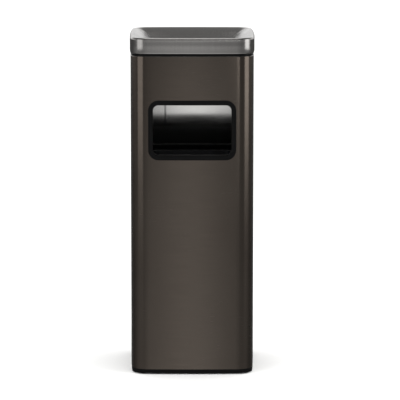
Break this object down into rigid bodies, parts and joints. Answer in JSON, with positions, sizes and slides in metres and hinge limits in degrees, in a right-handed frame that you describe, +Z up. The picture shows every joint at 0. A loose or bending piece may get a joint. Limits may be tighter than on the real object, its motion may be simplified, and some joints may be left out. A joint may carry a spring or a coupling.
{
  "type": "ashtray bin",
  "caption": "Free-standing square steel litter bin with a lift-off ashtray head, an ash pan, a front litter window and an inner bucket with a wire bail.",
  "frame": {"origin": "centre of the footprint, on the floor", "axes": "+Z up, the litter window faces -Y, +X to the right seen from the front"},
  "size_m": [0.2304, 0.2304, 0.6225],
  "materials": {
    "bronze_steel": "bronze-toned coated stainless steel, satin",
    "brushed_steel": "brushed stainless steel, natural",
    "bright_steel": "mill-bright stainless steel",
    "pan_steel": "drawn stainless steel, matt",
    "galvanised_steel": "zinc-coated steel",
    "spring_steel": "blackened spring steel",
    "zinc_fasteners": "zinc-plated steel",
    "black_plastic": "black moulded plastic, semi-gloss",
    "bucket_plastic": "black moulded polypropylene, semi-gloss",
    "grip_plastic": "black moulded plastic, matt",
    "foot_rubber": "black rubber"
  },
  "bodies": {
    "housing": {"outer_shell": "bronze_steel", "seam_strip": "bright_steel", "window_trim": "black_plastic", "trim_clips": "spring_steel", "top_collar": "black_plastic", "collar_screws": "zinc_fasteners", "base_ring": "black_plastic", "base_plate": "galvanised_steel", "base_screws": "zinc_fasteners", "base_nuts": "zinc_fasteners", "rubber_feet": "foot_rubber", "foot_screws": "zinc_fasteners", "foot_nuts": "zinc_fasteners", "bucket_guides": "galvanised_steel", "guide_rivets": "zinc_fasteners"},
    "head": {"ashtray_head": "brushed_steel", "head_locating_ring": "bright_steel"},
    "pan": {"ash_pan": "pan_steel", "pan_lift_tabs": "pan_steel"},
    "bucket": {"inner_bucket": "bucket_plastic", "bucket_ears": "galvanised_steel", "ear_rivets": "zinc_fasteners"},
    "bail": {"bail_handle": "galvanised_steel", "handle_grip": "grip_plastic"}
  },
  "joints": [
    {"name": "head_lift", "type": "slide", "parent": "housing", "child": "head", "axis": [0, 0, 1], "range_m": [0, 0.25]},
    {"name": "pan_lift", "type": "slide", "parent": "head", "child": "pan", "axis": [0, 0, 1], "range_m": [0, 0.12]},
    {"name": "bucket_lift", "type": "slide", "parent": "housing", "child": "bucket", "axis": [0, 0, 1], "range_m": [0, 0.06]},
    {"name": "bail_swing", "type": "hinge", "parent": "bucket", "child": "bail", "pos_m": [0, 0, 0.38], "axis": [-1, 0, 0], "range_deg": [0, 228]}
  ]
}
